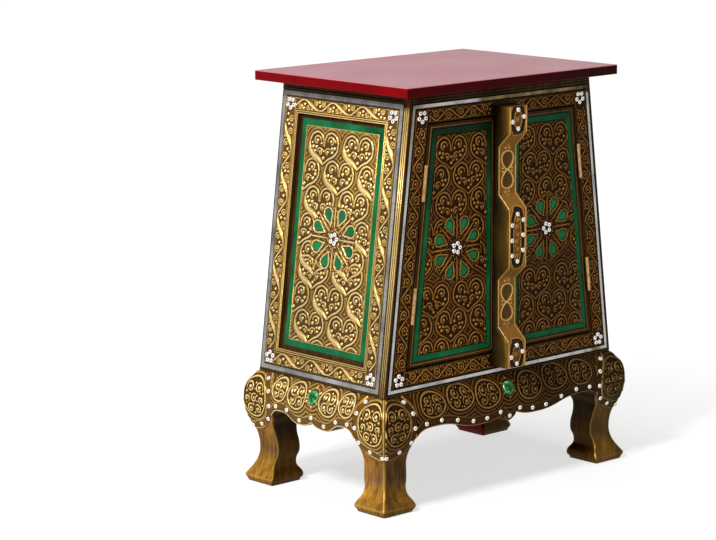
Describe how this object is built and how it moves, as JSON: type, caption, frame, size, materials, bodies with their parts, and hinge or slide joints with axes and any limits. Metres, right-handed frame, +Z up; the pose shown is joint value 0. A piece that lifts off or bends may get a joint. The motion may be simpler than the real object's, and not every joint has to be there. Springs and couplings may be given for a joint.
{
  "type": "nightstand",
  "caption": "Nightstand with a tapered carved and gilded body on curved legs, a flat top, glass and mirror inlay, and a pair of hinged doors with a raised centre bar.",
  "frame": {"origin": "on the floor, under the middle of the cabinet", "axes": "+Z up; the doors face -Y; +X to the right as seen from in front of the doors"},
  "size_m": [0.5044, 0.3246, 0.6],
  "materials": {
    "red_lacquer": "glossy red lacquer",
    "gilded_wood": "carved relief, gilded over a dark brown ground",
    "mirror": "narrow silvered mirror glass",
    "green_glass": "green glass backed with foil, not see-through",
    "white_bead": "glossy opaque white",
    "brass": "worn polished brass",
    "steel": "plain steel"
  },
  "bodies": {
    "cabinet": {"top_slab": "red_lacquer", "back_panel": "red_lacquer", "bottom_board": "red_lacquer", "shelf": "red_lacquer", "left_top_cleat": "red_lacquer", "right_top_cleat": "red_lacquer", "left_shelf_cleat": "red_lacquer", "right_shelf_cleat": "red_lacquer", "door_stop": "red_lacquer", "front_apron": "gilded_wood", "left_apron": "gilded_wood", "back_apron": "gilded_wood", "right_apron": "gilded_wood", "front_left_leg": "gilded_wood", "front_right_leg": "gilded_wood", "back_left_leg": "gilded_wood", "back_right_leg": "gilded_wood", "front_left_stile": "gilded_wood", "front_right_stile": "gilded_wood", "front_bottom_rail": "gilded_wood", "front_top_rail": "gilded_wood", "left_side_bottom_rail": "gilded_wood", "left_side_top_rail": "gilded_wood", "left_side_panel": "gilded_wood", "left_side_front_stile": "gilded_wood", "left_side_back_stile": "gilded_wood", "right_side_bottom_rail": "gilded_wood", "right_side_top_rail": "gilded_wood", "right_side_panel": "gilded_wood", "right_side_front_stile": "gilded_wood", "right_side_back_stile": "gilded_wood", "front_mirror_strips": "mirror", "left_side_mirror_strips": "mirror", "right_side_mirror_strips": "mirror", "left_side_glass_border": "green_glass", "left_side_glass_petals": "green_glass", "right_side_glass_border": "green_glass", "right_side_glass_petals": "green_glass", "apron_gems": "green_glass", "base_beads": "white_bead", "body_beads": "white_bead", "frame_hinge_leaves": "brass", "hinge_pins": "brass", "carcass_screws": "steel", "frame_hinge_screws": "steel"},
    "left_door": {"left_door_board": "gilded_wood", "left_door_glass_border": "green_glass", "left_door_glass_petals": "green_glass", "left_door_beads": "white_bead", "left_door_hinge_leaves": "brass", "left_door_hinge_screws": "steel"},
    "right_door": {"right_door_board": "gilded_wood", "right_door_glass_border": "green_glass", "right_door_glass_petals": "green_glass", "right_door_beads": "white_bead", "right_door_hinge_leaves": "brass", "right_door_hinge_screws": "steel", "centre_bar": "gilded_wood", "centre_bar_beads": "white_bead"}
  },
  "joints": [
    {"name": "left_door_hinge", "type": "hinge", "parent": "cabinet", "child": "left_door", "pos_m": [-0.16796, -0.1355, 0.3755], "axis": [-0.1233, 0, -0.9924], "range_deg": [0, 160]},
    {"name": "right_door_hinge", "type": "hinge", "parent": "cabinet", "child": "right_door", "pos_m": [0.16796, -0.1355, 0.3755], "axis": [-0.1233, 0, 0.9924], "range_deg": [0, 160]}
  ]
}
